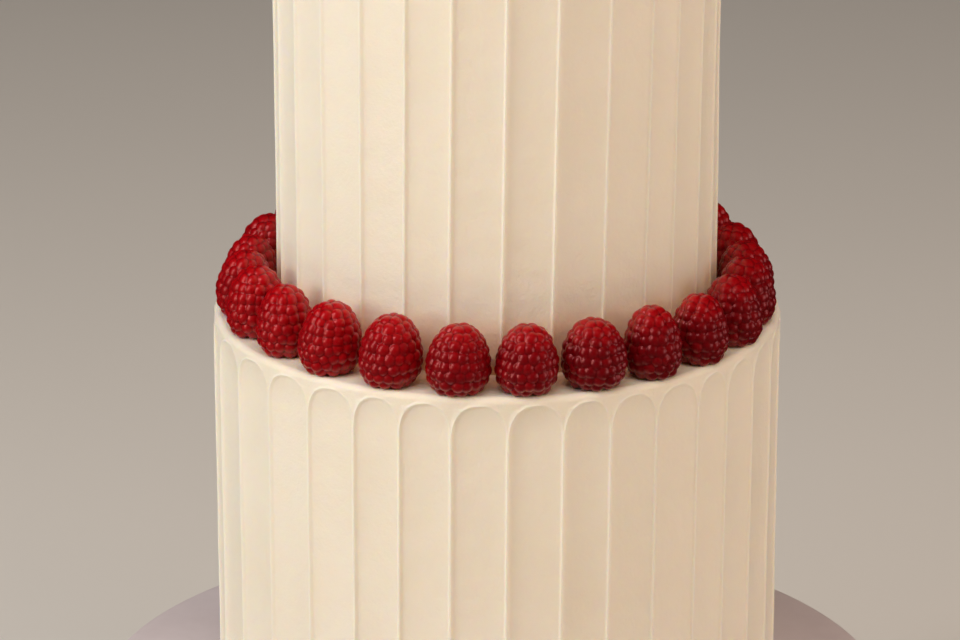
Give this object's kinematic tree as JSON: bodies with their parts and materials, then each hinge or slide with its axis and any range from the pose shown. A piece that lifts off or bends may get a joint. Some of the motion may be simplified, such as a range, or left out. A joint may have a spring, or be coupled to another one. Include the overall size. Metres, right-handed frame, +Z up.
{
  "type": "wedding cake on stand",
  "caption": "Round tiered wedding cake with fluted pale icing and a ring of raspberries on the ledge, on a round pedestal stand.",
  "frame": {"origin": "middle of the stand's foot, on the surface it stands on", "axes": "+Z up through the cake, -Y towards the side seen in the picture, +X to the right of it"},
  "size_m": [0.3086, 0.3086, 0.429],
  "materials": {
    "stand": "matte",
    "icing": "satin",
    "raspberry": "satin"
  },
  "bodies": {
    "root": {"stand_plate": "stand", "stand_pedestal": "stand", "lower_tier": "icing", "upper_tier": "icing", "raspberry_01": "raspberry", "raspberry_02": "raspberry", "raspberry_03": "raspberry", "raspberry_04": "raspberry", "raspberry_05": "raspberry", "raspberry_06": "raspberry", "raspberry_07": "raspberry", "raspberry_08": "raspberry", "raspberry_09": "raspberry", "raspberry_10": "raspberry", "raspberry_11": "raspberry", "raspberry_12": "raspberry", "raspberry_13": "raspberry", "raspberry_14": "raspberry", "raspberry_15": "raspberry", "raspberry_16": "raspberry", "raspberry_17": "raspberry", "raspberry_18": "raspberry", "raspberry_19": "raspberry", "raspberry_20": "raspberry", "raspberry_21": "raspberry", "raspberry_22": "raspberry", "raspberry_23": "raspberry", "raspberry_24": "raspberry", "raspberry_25": "raspberry"}
  },
  "joints": []
}
